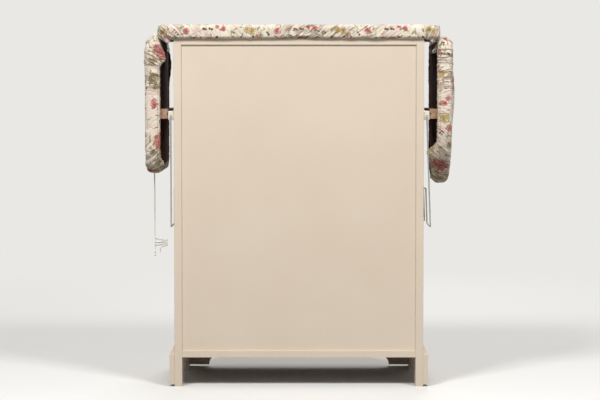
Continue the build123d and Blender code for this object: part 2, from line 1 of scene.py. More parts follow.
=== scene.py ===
# A painted sewing and pressing cabinet, seen from behind: floral cotton covers on a padded top and two
# drop leaves, wire props, drawstrings, a drawer over two panelled doors and a bracket-foot plinth.
import bpy
import bmesh
import json
from math import atan, atan2, ceil, cos, exp, hypot, pi, radians, sin, tan
from mathutils import Matrix, Vector, kdtree, noise
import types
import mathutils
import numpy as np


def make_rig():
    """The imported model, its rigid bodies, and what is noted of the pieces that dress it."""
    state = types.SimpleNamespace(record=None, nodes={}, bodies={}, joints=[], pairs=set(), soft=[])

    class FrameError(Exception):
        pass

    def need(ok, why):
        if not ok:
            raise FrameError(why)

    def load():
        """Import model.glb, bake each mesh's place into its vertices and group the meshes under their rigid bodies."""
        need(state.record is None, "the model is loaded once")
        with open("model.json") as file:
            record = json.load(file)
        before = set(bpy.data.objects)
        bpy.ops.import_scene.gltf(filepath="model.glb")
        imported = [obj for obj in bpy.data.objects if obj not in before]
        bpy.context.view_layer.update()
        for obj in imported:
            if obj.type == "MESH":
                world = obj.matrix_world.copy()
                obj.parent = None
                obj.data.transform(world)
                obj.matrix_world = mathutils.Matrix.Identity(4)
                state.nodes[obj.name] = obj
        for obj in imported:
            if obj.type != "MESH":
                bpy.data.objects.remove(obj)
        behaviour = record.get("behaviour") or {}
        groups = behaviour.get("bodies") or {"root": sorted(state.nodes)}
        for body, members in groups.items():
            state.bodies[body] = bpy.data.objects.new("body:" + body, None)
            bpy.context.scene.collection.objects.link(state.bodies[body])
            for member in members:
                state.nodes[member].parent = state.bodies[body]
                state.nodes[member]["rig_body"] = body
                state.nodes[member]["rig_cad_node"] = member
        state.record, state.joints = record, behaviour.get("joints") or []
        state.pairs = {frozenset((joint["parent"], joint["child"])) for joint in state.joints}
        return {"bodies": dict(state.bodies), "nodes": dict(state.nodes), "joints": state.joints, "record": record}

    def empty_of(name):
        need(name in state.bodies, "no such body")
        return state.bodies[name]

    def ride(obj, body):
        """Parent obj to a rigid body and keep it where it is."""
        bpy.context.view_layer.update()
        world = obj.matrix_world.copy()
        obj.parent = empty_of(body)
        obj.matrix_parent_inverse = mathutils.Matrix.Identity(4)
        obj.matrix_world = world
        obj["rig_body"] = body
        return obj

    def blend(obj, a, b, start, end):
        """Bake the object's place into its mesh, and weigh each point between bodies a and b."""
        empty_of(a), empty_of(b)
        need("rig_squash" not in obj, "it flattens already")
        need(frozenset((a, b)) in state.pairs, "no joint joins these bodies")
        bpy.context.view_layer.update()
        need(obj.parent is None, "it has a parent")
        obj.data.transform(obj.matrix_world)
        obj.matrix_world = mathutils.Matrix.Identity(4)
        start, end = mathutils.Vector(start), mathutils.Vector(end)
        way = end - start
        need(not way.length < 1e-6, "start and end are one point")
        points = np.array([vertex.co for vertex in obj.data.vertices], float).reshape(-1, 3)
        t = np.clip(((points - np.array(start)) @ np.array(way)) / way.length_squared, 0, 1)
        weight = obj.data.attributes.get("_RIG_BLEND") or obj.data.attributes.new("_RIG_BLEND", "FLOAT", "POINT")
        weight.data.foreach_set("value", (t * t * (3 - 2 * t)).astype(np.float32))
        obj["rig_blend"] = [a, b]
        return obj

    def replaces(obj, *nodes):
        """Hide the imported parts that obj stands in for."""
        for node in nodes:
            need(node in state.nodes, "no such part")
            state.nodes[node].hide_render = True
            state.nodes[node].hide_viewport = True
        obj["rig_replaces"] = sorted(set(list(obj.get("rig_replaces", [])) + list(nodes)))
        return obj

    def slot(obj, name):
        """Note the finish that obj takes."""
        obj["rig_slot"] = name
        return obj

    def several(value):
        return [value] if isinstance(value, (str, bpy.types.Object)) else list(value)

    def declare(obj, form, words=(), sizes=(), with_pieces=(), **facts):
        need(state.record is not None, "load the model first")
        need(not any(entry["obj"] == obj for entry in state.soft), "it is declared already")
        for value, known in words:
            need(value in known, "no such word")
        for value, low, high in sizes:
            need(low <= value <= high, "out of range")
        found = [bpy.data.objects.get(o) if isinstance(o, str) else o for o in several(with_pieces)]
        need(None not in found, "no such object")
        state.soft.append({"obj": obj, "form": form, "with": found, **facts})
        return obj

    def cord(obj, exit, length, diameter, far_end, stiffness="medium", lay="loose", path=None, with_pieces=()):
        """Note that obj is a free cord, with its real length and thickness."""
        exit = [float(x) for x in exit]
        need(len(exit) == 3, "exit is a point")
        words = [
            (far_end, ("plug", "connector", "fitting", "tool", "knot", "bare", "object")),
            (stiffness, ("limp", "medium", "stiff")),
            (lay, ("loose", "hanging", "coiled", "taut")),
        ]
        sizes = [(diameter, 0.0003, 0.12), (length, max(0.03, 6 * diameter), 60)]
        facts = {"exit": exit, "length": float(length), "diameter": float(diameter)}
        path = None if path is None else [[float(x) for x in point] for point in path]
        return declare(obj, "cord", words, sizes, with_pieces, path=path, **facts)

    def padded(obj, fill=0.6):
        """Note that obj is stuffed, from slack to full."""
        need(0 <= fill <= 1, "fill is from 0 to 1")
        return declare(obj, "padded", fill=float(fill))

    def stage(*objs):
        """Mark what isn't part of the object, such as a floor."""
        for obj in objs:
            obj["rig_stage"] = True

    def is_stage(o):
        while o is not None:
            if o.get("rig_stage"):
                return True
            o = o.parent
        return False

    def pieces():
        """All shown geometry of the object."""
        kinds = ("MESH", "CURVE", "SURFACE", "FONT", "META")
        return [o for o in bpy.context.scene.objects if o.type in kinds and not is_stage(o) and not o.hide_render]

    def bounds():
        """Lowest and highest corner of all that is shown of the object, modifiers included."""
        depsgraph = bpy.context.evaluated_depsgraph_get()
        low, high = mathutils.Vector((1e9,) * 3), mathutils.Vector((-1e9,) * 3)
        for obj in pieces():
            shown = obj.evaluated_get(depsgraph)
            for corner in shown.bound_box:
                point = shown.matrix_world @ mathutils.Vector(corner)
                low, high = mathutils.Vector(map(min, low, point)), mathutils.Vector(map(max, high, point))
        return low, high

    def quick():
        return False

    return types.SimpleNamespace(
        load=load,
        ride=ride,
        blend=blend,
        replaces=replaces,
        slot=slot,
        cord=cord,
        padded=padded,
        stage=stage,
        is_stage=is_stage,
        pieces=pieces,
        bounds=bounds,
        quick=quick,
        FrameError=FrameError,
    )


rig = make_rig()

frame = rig.load()
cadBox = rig.bounds()
print("frame loaded")

mm = 0.001
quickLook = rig.quick()
bpy.context.scene.view_settings.view_transform = "Standard"


# ---- nodes and colours ----
def colour(hexCode):
    # sRGB hex to linear
    channels = [int(hexCode[i:i + 2], 16) / 255 for i in (1, 3, 5)]
    return tuple(c / 12.92 if c <= 0.04045 else ((c + 0.055) / 1.055) ** 2.4 for c in channels) + (1.0,)


def addNode(tree, kind, settings=None, links=None):
    node = tree.nodes.new(kind)
    for name, value in (settings or {}).items():
        setattr(node, name, value)
    for name, value in (links or {}).items():
        socket = node.inputs[name]
        if isinstance(value, bpy.types.NodeSocket):
            tree.links.new(value, socket)
        else:
            socket.default_value = value
    return node


def newMaterial(name, **sockets):
    finish = bpy.data.materials.new(name)
    finish.use_nodes = True
    tree = finish.node_tree
    tree.nodes.clear()
    shader = addNode(tree, "ShaderNodeBsdfPrincipled", None, sockets)
    addNode(tree, "ShaderNodeOutputMaterial", None, {"Surface": shader.outputs[0]})
    return finish, tree, shader


def dress(names, finish):
    for name in names:
        piece = frame["nodes"][name]
        if not piece.material_slots:
            piece.data.materials.append(finish)
        for materialSlot in piece.material_slots:
            materialSlot.material = finish


# ---- camera, light and floor ----
view = {"place": (0.0029, -5.09775, 0.7435), "aim": (0.0029, -0.19775, 0.4665), "lens": 118.9, "sensor": 36.0}
lamps = [  # place, size, watts
    ((-1.6, -2.85, 3.6), 1.0, 119),
    ((1.8, -2.7, 3.4), 1.0, 95),
    ((0.5, 4.0, 2.5), 1.8, 74),
]
backdrop = {"shade": "#E9E8E5", "bounce": "#8C8A86", "ambient": 0.26, "near": 0.9, "far": 3.2}


def makeCamera():
    camera = bpy.data.objects.new("camera", bpy.data.cameras.new("camera"))
    bpy.context.scene.collection.objects.link(camera)
    camera.location = view["place"]
    direction = Vector(view["aim"]) - Vector(view["place"])
    camera.rotation_euler = direction.to_track_quat("-Z", "Y").to_euler()
    camera.data.lens = view["lens"]
    camera.data.sensor_width = view["sensor"]
    camera.data.clip_end = 100
    bpy.context.scene.camera = camera


def seenRays(tree):
    # 1 for what is seen, also in a gloss or through glass, and 0 for light that bounces on
    path = addNode(tree, "ShaderNodeLightPath")
    seen = addNode(tree, "ShaderNodeMath", {"operation": "MAXIMUM"},
                   {0: path.outputs["Is Camera Ray"], 1: path.outputs["Is Glossy Ray"]})
    seen = addNode(tree, "ShaderNodeMath", {"operation": "MAXIMUM"},
                   {0: seen.outputs[0], 1: path.outputs["Is Transmission Ray"]})
    return seen.outputs[0]


def makeLight():
    for place, size, watts in lamps:
        lamp = bpy.data.objects.new("softbox", bpy.data.lights.new("softbox", "AREA"))
        bpy.context.scene.collection.objects.link(lamp)
        lamp.location = place
        lamp.rotation_euler = (Vector((0, 0, 0.5)) - Vector(place)).to_track_quat("-Z", "Y").to_euler()
        lamp.data.size = size
        lamp.data.energy = watts
    world = bpy.data.worlds.new("studio")
    bpy.context.scene.world = world
    world.use_nodes = True
    tree = world.node_tree
    tree.nodes.clear()
    seen = seenRays(tree)
    strength = addNode(tree, "ShaderNodeMapRange", None,
                       {"Value": seen, "To Min": backdrop["ambient"], "To Max": 1.0})
    sky = addNode(tree, "ShaderNodeMix", {"data_type": "RGBA"},
                  {0: seen, 6: (1, 1, 1, 1), 7: colour(backdrop["shade"])})
    glow = addNode(tree, "ShaderNodeBackground", None, {"Color": sky.outputs[2], "Strength": strength.outputs[0]})
    addNode(tree, "ShaderNodeOutputWorld", None, {"Surface": glow.outputs[0]})


def makeFloor():
    shape = bmesh.new()
    bmesh.ops.create_circle(shape, cap_ends=True, segments=64, radius=30)
    floor = newPiece("floor", shape)
    finish, tree, shader = newMaterial("paleFloor", **{"Base Color": colour(backdrop["shade"]), "Roughness": 0.9})
    place = addNode(tree, "ShaderNodeTexCoord")
    away = addNode(tree, "ShaderNodeVectorMath", {"operation": "LENGTH"}, {0: place.outputs["Object"]})
    fade = addNode(tree, "ShaderNodeMapRange", {"interpolation_type": "SMOOTHSTEP"},
                   {"Value": away.outputs["Value"], "From Min": backdrop["near"], "From Max": backdrop["far"]})
    glow = addNode(tree, "ShaderNodeEmission", None, {"Color": colour(backdrop["shade"])})
    both = addNode(tree, "ShaderNodeMixShader", None, {0: fade.outputs[0], 1: shader.outputs[0], 2: glow.outputs[0]})
    dim = addNode(tree, "ShaderNodeBsdfDiffuse", None, {"Color": colour(backdrop["bounce"])})
    lit = addNode(tree, "ShaderNodeMixShader", None, {0: seenRays(tree), 1: dim.outputs[0], 2: both.outputs[0]})
    out = [node for node in tree.nodes if node.type == "OUTPUT_MATERIAL"][0]
    tree.links.new(lit.outputs[0], out.inputs["Surface"])
    floor.data.materials.append(finish)
    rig.stage(floor)


def newPiece(name, shape, smooth=False):
    # a bmesh becomes an object at the origin
    mesh = bpy.data.meshes.new(name)
    shape.to_mesh(mesh)
    shape.free()
    piece = bpy.data.objects.new(name, mesh)
    bpy.context.scene.collection.objects.link(piece)
    if smooth:
        mesh.polygons.foreach_set("use_smooth", [True] * len(mesh.polygons))
    return piece


# ---- finishes ----
def paintedWood(name, shade, dark):
    # satin enamel over sanded board: even colour, a faint roller texture, slightly duller patches
    finish, tree, shader = newMaterial(name, **{"Roughness": 0.42, "IOR": 1.5})
    place = addNode(tree, "ShaderNodeTexCoord").outputs["Object"]
    patches = addNode(tree, "ShaderNodeTexNoise", None, {"Vector": place, "Scale": 5.0, "Detail": 3.0})
    brushed = addNode(tree, "ShaderNodeMapping", None, {"Vector": place, "Scale": (260, 260, 14)})
    streaks = addNode(tree, "ShaderNodeTexNoise", None, {"Vector": brushed.outputs[0], "Scale": 1.0, "Detail": 2.0})
    blend = addNode(tree, "ShaderNodeMath", {"operation": "MULTIPLY_ADD"},
                    {0: streaks.outputs["Fac"], 1: 0.12, 2: patches.outputs["Fac"]})
    tone = addNode(tree, "ShaderNodeMapRange", None,
                   {"Value": blend.outputs[0], "From Min": 0.4, "From Max": 0.95})
    base = addNode(tree, "ShaderNodeMix", {"data_type": "RGBA"},
                   {0: tone.outputs[0], 6: colour(dark), 7: colour(shade)})
    tree.links.new(base.outputs[2], shader.inputs["Base Color"])
    dull = addNode(tree, "ShaderNodeMapRange", None,
                   {"Value": patches.outputs["Fac"], "From Min": 0.3, "From Max": 0.7,
                    "To Min": 0.36, "To Max": 0.5})
    tree.links.new(dull.outputs[0], shader.inputs["Roughness"])
    peel = addNode(tree, "ShaderNodeTexNoise", None, {"Vector": place, "Scale": 420.0, "Detail": 1.0})
    height = addNode(tree, "ShaderNodeMath", {"operation": "MULTIPLY_ADD"},
                     {0: streaks.outputs["Fac"], 1: 0.35, 2: peel.outputs["Fac"]})
    bump = addNode(tree, "ShaderNodeBump", None,
                   {"Height": height.outputs[0], "Strength": 0.12, "Distance": 0.0004})
    tree.links.new(bump.outputs[0], shader.inputs["Normal"])
    return finish


def woodGrain(name, light, dark, stretch, roughness):
    # bare or stained softwood: long grain lines with pores between, and hardly any gloss
    finish, tree, shader = newMaterial(name, **{"Roughness": roughness, "Specular IOR Level": 0.05})
    place = addNode(tree, "ShaderNodeTexCoord").outputs["Object"]
    along = addNode(tree, "ShaderNodeMapping", None, {"Vector": place, "Scale": stretch})
    rings = addNode(tree, "ShaderNodeTexNoise", None,
                    {"Vector": along.outputs[0], "Scale": 1.0, "Detail": 5.0, "Distortion": 0.6})
    tone = addNode(tree, "ShaderNodeMapRange", None,
                   {"Value": rings.outputs["Fac"], "From Min": 0.35, "From Max": 0.68})
    base = addNode(tree, "ShaderNodeMix", {"data_type": "RGBA"},
                   {0: tone.outputs[0], 6: colour(dark), 7: colour(light)})
    tree.links.new(base.outputs[2], shader.inputs["Base Color"])
    bump = addNode(tree, "ShaderNodeBump", None,
                   {"Height": rings.outputs["Fac"], "Strength": 0.35, "Distance": 0.0005})
    tree.links.new(bump.outputs[0], shader.inputs["Normal"])
    return finish


def zincSteel():
    # drawn and zinc-plated steel: dull grey with fine long scratches
    finish, tree, shader = newMaterial("zincSteel", **{"Metallic": 1.0, "Roughness": 0.4})
    place = addNode(tree, "ShaderNodeTexCoord").outputs["Object"]
    cloud = addNode(tree, "ShaderNodeTexNoise", None, {"Vector": place, "Scale": 90.0, "Detail": 4.0})
    tone = addNode(tree, "ShaderNodeMix", {"data_type": "RGBA"},
                   {0: cloud.outputs["Fac"], 6: colour("#8F8C86"), 7: colour("#BDB9B2")})
    tree.links.new(tone.outputs[2], shader.inputs["Base Color"])
    dull = addNode(tree, "ShaderNodeMapRange", None, {"Value": cloud.outputs["Fac"], "To Min": 0.3, "To Max": 0.55})
    tree.links.new(dull.outputs[0], shader.inputs["Roughness"])
    return finish


def mattePlastic():
    # moulded catch housing: even, with a fine spark-eroded texture
    finish, tree, shader = newMaterial("mouldedPlastic", **{"Base Color": colour("#D9D3C7"), "Roughness": 0.55})
    place = addNode(tree, "ShaderNodeTexCoord").outputs["Object"]
    grit = addNode(tree, "ShaderNodeTexNoise", None, {"Vector": place, "Scale": 2500.0})
    bump = addNode(tree, "ShaderNodeBump", None,
                   {"Height": grit.outputs["Fac"], "Strength": 0.2, "Distance": 0.0001})
    tree.links.new(bump.outputs[0], shader.inputs["Normal"])
    return finish


def cottonCord():
    # twisted cotton: matt, off-white, with short fibres
    finish, tree, shader = newMaterial("cottonCord", **{"Roughness": 0.85, "Sheen Weight": 0.3})
    place = addNode(tree, "ShaderNodeTexCoord").outputs["Object"]
    fluff = addNode(tree, "ShaderNodeTexNoise", None, {"Vector": place, "Scale": 900.0, "Detail": 3.0})
    tone = addNode(tree, "ShaderNodeMix", {"data_type": "RGBA"},
                   {0: fluff.outputs["Fac"], 6: colour("#EFEAE1"), 7: colour("#FFFDF9")})
    tree.links.new(tone.outputs[2], shader.inputs["Base Color"])
    bump = addNode(tree, "ShaderNodeBump", None,
                   {"Height": fluff.outputs["Fac"], "Strength": 0.5, "Distance": 0.0003})
    tree.links.new(bump.outputs[0], shader.inputs["Normal"])
    return finish


cotton = {
    # paintedFoldShade is the grey-brown of painted shade in the folds and creases, not a colour of the cloth
    "ground": "#F1E5D6", "shade": "#EBDCCB", "blush": "#F0D2C8", "sage": "#E2DEC2", "paintedFoldShade": "#8F7858",
    "thread": 0.9 * mm, "wander": 2.0 * mm, "wanderSize": 8 * mm, "petalSize": 5.0 * mm,
    "repeat": 224.0,  # the printed pattern repeats both ways; x, y and radius of each motif in one repeat
    "motifs": {
        "gold": [(150, 4, 9), (163, 1, 10), (62, 71, 14), (140, 190, 12), (38, 32, 7), (178, 66, 9), (92, 112, 8)],
        "olive": [(5, 148, 9), (45, 145, 14), (10, 190, 14), (113, -2, 4), (118, -4, 3), (185, 172, 8), (20, 40, 6), (128, 96, 8)],
        "rose": [(0, 0, 8), (77, 12, 6), (92, 7, 7), (174, -12, 4), (182, -14, 4), (13, 81, 7), (26, 69, 8),
                 (124, 55, 7), (200, 120, 25), (88, 86, 10), (111, 144, 9), (102, 147, 6), (190, 139, 6),
                 (203, 143, 6), (60, 195, 14), (20, 180, 6), (120, 172, 5), (110, 38, 6), (200, 40, 8)],
        "bud": [(-21, -8, 3.0), (-25, -3, 2.4), (43, 6, 3.2), (48, 5, 2.7), (58, 6, 3.2), (63, 5, 2.7), (20, -17, 3.0),
                (35, -18, 3.2), (75, -15, 3.5), (135, -15, 3.2), (98, 66, 3.5), (103, 62, 3.2), (100, 70, 2.7),
                (106, 68, 2.4), (150, 130, 3.2), (156, 127, 2.7), (70, 165, 3.2), (85, 168, 2.7), (165, 210, 3.2),
                (30, 110, 3.2), (36, 113, 2.7)],
    },
    "shades": {"gold": ("#86652A", "#CAAE66", "#ECDFB6"), "olive": ("#54442A", "#A0905F", "#DDD2AE"),
               "rose": ("#861A22", "#C9524F", "#EEBCAF"), "bud": ("#2E1D12", "#4A3020", "#5E402A")},
    "leaf": ("#6C6B4B", "#9C9A72"), "leafSpacing": 19 * mm, "leafLength": 7.0 * mm, "leafWidth": 2.3 * mm,
    "vine": "#6E5A40", "vineSpacing": 50 * mm, "vines": ((0.43, 0.011), (0.56, 0.012)),
    "stitch": "#8A6B55", "stitchLine": 37.5 * mm, "stitchWidth": 0.9 * mm, "stitchStep": 5.5 * mm,
    "gatherSpacing": 6.0 * mm, "gatherLength": 34 * mm,
}


def floralCotton():
    # plain-woven printed cotton: matt cream ground, soft-edged flowers, and painted grey-brown shade where it folds in
    finish, tree, shader = newMaterial("floralCotton", **{"Roughness": 0.82, "Sheen Weight": 0.2})
    cloth = addNode(tree, "ShaderNodeUVMap", {"uv_map": "cloth"}).outputs[0]
    wander = addNode(tree, "ShaderNodeTexNoise", {"noise_dimensions": "2D"},
                     {"Vector": cloth, "Scale": 1 / cotton["wanderSize"], "Detail": 2.0})
    shift = addNode(tree, "ShaderNodeVectorMath", {"operation": "SUBTRACT"},
                    {0: wander.outputs["Color"], 1: (0.5, 0.5, 0.5)})
    shift = addNode(tree, "ShaderNodeVectorMath", {"operation": "MULTIPLY"},
                    {0: shift.outputs[0], 1: (2 * cotton["wander"], 2 * cotton["wander"], 0)})
    drawn = addNode(tree, "ShaderNodeVectorMath", {"operation": "ADD"}, {0: cloth, 1: shift.outputs[0]}).outputs[0]

    # the ground has pale washes of blush and sage
    patches = addNode(tree, "ShaderNodeTexNoise", {"noise_dimensions": "2D"},
                      {"Vector": cloth, "Scale": 34.0, "Detail": 2.0})
    tints = addNode(tree, "ShaderNodeSeparateColor", None, {0: patches.outputs["Color"]})
    printed = addNode(tree, "ShaderNodeMix", {"data_type": "RGBA"},
                      {0: patches.outputs["Fac"], 6: colour(cotton["shade"]), 7: colour(cotton["ground"])})
    for channel, tint in ((1, "blush"), (2, "sage")):
        wash = addNode(tree, "ShaderNodeMapRange", None,
                       {"Value": tints.outputs[channel], "From Min": 0.5, "From Max": 0.68, "To Max": 0.75})
        printed = addNode(tree, "ShaderNodeMix", {"data_type": "RGBA"},
                          {0: wash.outputs[0], 6: printed.outputs[2], 7: colour(cotton[tint])})

    # thin vines run along the level lines of a slow noise
    slow = addNode(tree, "ShaderNodeTexNoise", {"noise_dimensions": "2D"},
                   {"Vector": drawn, "Scale": 1 / cotton["vineSpacing"], "Detail": 1.6, "Roughness": 0.6})
    broken = addNode(tree, "ShaderNodeMapRange", None,
                     {"Value": tints.outputs[0], "From Min": 0.46, "From Max": 0.56, "To Max": 0.8})
    for level, width in cotton["vines"]:
        away = addNode(tree, "ShaderNodeMath", {"operation": "SUBTRACT"}, {0: slow.outputs["Fac"], 1: level})
        away = addNode(tree, "ShaderNodeMath", {"operation": "ABSOLUTE"}, {0: away.outputs[0]})
        soft = addNode(tree, "ShaderNodeMapRange", None,
                       {"Value": away.outputs[0], "From Min": width, "From Max": 0.3 * width})
        soft = addNode(tree, "ShaderNodeMath", {"operation": "MULTIPLY"}, {0: soft.outputs[0], 1: broken.outputs[0]})
        printed = addNode(tree, "ShaderNodeMix", {"data_type": "RGBA"},
                          {0: soft.outputs[0], 6: printed.outputs[2], 7: colour(cotton["vine"])})

    # where the cloth lies in its printed repeat, and how near each kind of motif is there
    size = cotton["repeat"]
    tile = addNode(tree, "ShaderNodeVectorMath", {"operation": "WRAP"},
                   {0: drawn, 1: (size * mm, size * mm, 1), 2: (0, 0, 0)}).outputs[0]
    ragged = addNode(tree, "ShaderNodeMapRange", None, {"Value": wander.outputs["Fac"], "To Min": -0.45, "To Max": 0.45})
    near = {}
    for kind, motifs in cotton["motifs"].items():
        nearest = None
        for x, y, radius in motifs:
            for across in (x - size, x, x + size):
                for up in (y - size, y, y + size):
                    if not (-2 * radius < across < size + 2 * radius and -2 * radius < up < size + 2 * radius):
                        continue
                    far = addNode(tree, "ShaderNodeVectorMath", {"operation": "DISTANCE"},
                                  {0: tile, 1: (across * mm, up * mm, 0)})
                    far = addNode(tree, "ShaderNodeMath", {"operation": "MULTIPLY_ADD"},
                                  {0: far.outputs["Value"], 1: 1 / (radius * mm), 2: ragged.outputs[0]})
                    if nearest:
                        far = addNode(tree, "ShaderNodeMath", {"operation": "MINIMUM"},
                                      {0: far.outputs[0], 1: nearest.outputs[0]})
                    nearest = far
        near[kind] = nearest.outputs[0]
    around = addNode(tree, "ShaderNodeMath", {"operation": "MINIMUM"}, {0: near["rose"], 1: near["gold"]})
    around = addNode(tree, "ShaderNodeMath", {"operation": "MINIMUM"}, {0: around.outputs[0], 1: near["olive"]})

    # pointed leaves, turned every way, gather round the flowers
    cells = addNode(tree, "ShaderNodeTexVoronoi", {"voronoi_dimensions": "2D"},
                    {"Vector": drawn, "Scale": 1 / cotton["leafSpacing"], "Randomness": 1.0})
    luck = addNode(tree, "ShaderNodeSeparateColor", None, {0: cells.outputs["Color"]})
    offset = addNode(tree, "ShaderNodeVectorMath", {"operation": "SUBTRACT"},
                     {0: drawn, 1: cells.outputs["Position"]})
    turn = addNode(tree, "ShaderNodeMath", {"operation": "MULTIPLY"}, {0: luck.outputs[0], 1: 2 * pi})
    offset = addNode(tree, "ShaderNodeVectorRotate", {"rotation_type": "Z_AXIS"},
                     {"Vector": offset.outputs[0], "Angle": turn.outputs[0]})
    parts = addNode(tree, "ShaderNodeSeparateXYZ", None, {0: offset.outputs[0]})
    along = addNode(tree, "ShaderNodeMath", {"operation": "DIVIDE"}, {0: parts.outputs[0], 1: cotton["leafLength"]})
    curve = addNode(tree, "ShaderNodeMath", {"operation": "MULTIPLY"}, {0: along.outputs[0], 1: along.outputs[0]})
    across = addNode(tree, "ShaderNodeMath", {"operation": "ABSOLUTE"}, {0: parts.outputs[1]})
    across = addNode(tree, "ShaderNodeMath", {"operation": "DIVIDE"}, {0: across.outputs[0], 1: cotton["leafWidth"]})
    edge = addNode(tree, "ShaderNodeMath", {"operation": "ADD"}, {0: curve.outputs[0], 1: across.outputs[0]})
    blade = addNode(tree, "ShaderNodeMapRange", None,
                    {"Value": edge.outputs[0], "From Min": 1.0, "From Max": 0.8, "To Max": 0.85})
    crowd = addNode(tree, "ShaderNodeMapRange", None,
                    {"Value": around.outputs[0], "From Min": 1.2, "From Max": 3.0, "To Min": 0.85, "To Max": 0.3})
    kept = addNode(tree, "ShaderNodeMath", {"operation": "LESS_THAN"}, {0: luck.outputs[1], 1: crowd.outputs[0]})
    blade = addNode(tree, "ShaderNodeMath", {"operation": "MULTIPLY"}, {0: blade.outputs[0], 1: kept.outputs[0]})
    green = addNode(tree, "ShaderNodeMix", {"data_type": "RGBA"},
                    {0: luck.outputs[2], 6: colour(cotton["leaf"][0]), 7: colour(cotton["leaf"][1])})
    printed = addNode(tree, "ShaderNodeMix", {"data_type": "RGBA"},
                      {0: blade.outputs[0], 6: printed.outputs[2], 7: green.outputs[2]})

    # petals: small cells of two shades with a darker line between, deeper towards the flower's heart
    petals = addNode(tree, "ShaderNodeTexVoronoi", {"voronoi_dimensions": "2D"},
                     {"Vector": drawn, "Scale": 1 / cotton["petalSize"]})
    petals = addNode(tree, "ShaderNodeSeparateColor", None, {0: petals.outputs["Color"]})
    gaps = addNode(tree, "ShaderNodeTexVoronoi", {"voronoi_dimensions": "2D", "feature": "DISTANCE_TO_EDGE"},
                   {"Vector": drawn, "Scale": 1 / cotton["petalSize"]})
    gaps = addNode(tree, "ShaderNodeMapRange", None,
                   {"Value": gaps.outputs["Distance"], "From Min": 0.03, "From Max": 0.16, "To Min": 0.85, "To Max": 0.0})
    for kind in ("bud", "olive", "gold", "rose"):
        dark, middle, pale = (colour(shade) for shade in cotton["shades"][kind])
        petal = addNode(tree, "ShaderNodeMix", {"data_type": "RGBA"}, {0: petals.outputs[0], 6: middle, 7: pale})
        deep = addNode(tree, "ShaderNodeMapRange", None,
                       {"Value": near[kind], "From Min": 0.1, "From Max": 0.65, "To Min": 0.75, "To Max": 0.0})
        deep = addNode(tree, "ShaderNodeMath", {"operation": "MAXIMUM"}, {0: deep.outputs[0], 1: gaps.outputs[0]})
        petal = addNode(tree, "ShaderNodeMix", {"data_type": "RGBA"}, {0: deep.outputs[0], 6: petal.outputs[2], 7: dark})
        inside = addNode(tree, "ShaderNodeMapRange", None,
                         {"Value": near[kind], "From Min": 1.05, "From Max": 0.92, "To Max": 0.95})
        printed = addNode(tree, "ShaderNodeMix", {"data_type": "RGBA"},
                          {0: inside.outputs[0], 6: printed.outputs[2], 7: petal.outputs[2]})

    # the drawstring's channel is sewn along the lower edge; the thread is drawn coarser than it is
    edge = addNode(tree, "ShaderNodeUVMap", {"uv_map": "edge"})
    parts = addNode(tree, "ShaderNodeSeparateXYZ", None, {0: edge.outputs[0]})
    line = addNode(tree, "ShaderNodeMath", {"operation": "COMPARE"},
                   {0: parts.outputs[1], 1: cotton["stitchLine"], 2: cotton["stitchWidth"] / 2})
    step = addNode(tree, "ShaderNodeMath", {"operation": "PINGPONG"}, {0: parts.outputs[0], 1: cotton["stitchStep"] / 2})
    step = addNode(tree, "ShaderNodeMath", {"operation": "LESS_THAN"},
                   {0: step.outputs[0], 1: 0.3 * cotton["stitchStep"]})
    line = addNode(tree, "ShaderNodeMath", {"operation": "MULTIPLY"}, {0: line.outputs[0], 1: step.outputs[0]})
    printed = addNode(tree, "ShaderNodeMix", {"data_type": "RGBA"},
                      {0: line.outputs[0], 6: printed.outputs[2], 7: colour(cotton["stitch"])})

    # painted shade: creases and fold valleys are darkened towards grey-brown; the finest gathers are too small for the
    # mesh, so they are drawn here and bumped as well
    along = addNode(tree, "ShaderNodeMapping", None,
                    {"Vector": edge.outputs[0], "Scale": (1 / cotton["gatherSpacing"], 1 / cotton["gatherLength"], 1)})
    gathers = addNode(tree, "ShaderNodeTexNoise", {"noise_dimensions": "2D"},
                      {"Vector": along.outputs[0], "Scale": 0.5, "Detail": 1.5, "Distortion": 0.4})
    crease = addNode(tree, "ShaderNodeMath", {"operation": "SUBTRACT"}, {0: gathers.outputs["Fac"], 1: 0.5})
    crease = addNode(tree, "ShaderNodeMath", {"operation": "ABSOLUTE"}, {0: crease.outputs[0]})
    crease = addNode(tree, "ShaderNodeMapRange", {"interpolation_type": "SMOOTHSTEP"},
                     {"Value": crease.outputs[0], "From Min": 0.0, "From Max": 0.075, "To Min": 1.0, "To Max": 0.0})
    pull = addNode(tree, "ShaderNodeAttribute", {"attribute_name": "pull"})
    crease = addNode(tree, "ShaderNodeMath", {"operation": "MULTIPLY"}, {0: crease.outputs[0], 1: pull.outputs["Fac"]})
    depth = addNode(tree, "ShaderNodeAttribute", {"attribute_name": "depth"})
    # painted shade: the creases and the depth attribute set how far the print turns grey-brown
    paintedFoldShade = addNode(tree, "ShaderNodeMath", {"operation": "MULTIPLY_ADD", "use_clamp": True},
                     {0: crease.outputs[0], 1: 0.7, 2: depth.outputs["Fac"]})
    printed = addNode(tree, "ShaderNodeMix", {"data_type": "RGBA", "blend_type": "MULTIPLY"},
                      {0: paintedFoldShade.outputs[0], 6: printed.outputs[2], 7: colour(cotton["paintedFoldShade"])})
    tree.links.new(printed.outputs[2], shader.inputs["Base Color"])

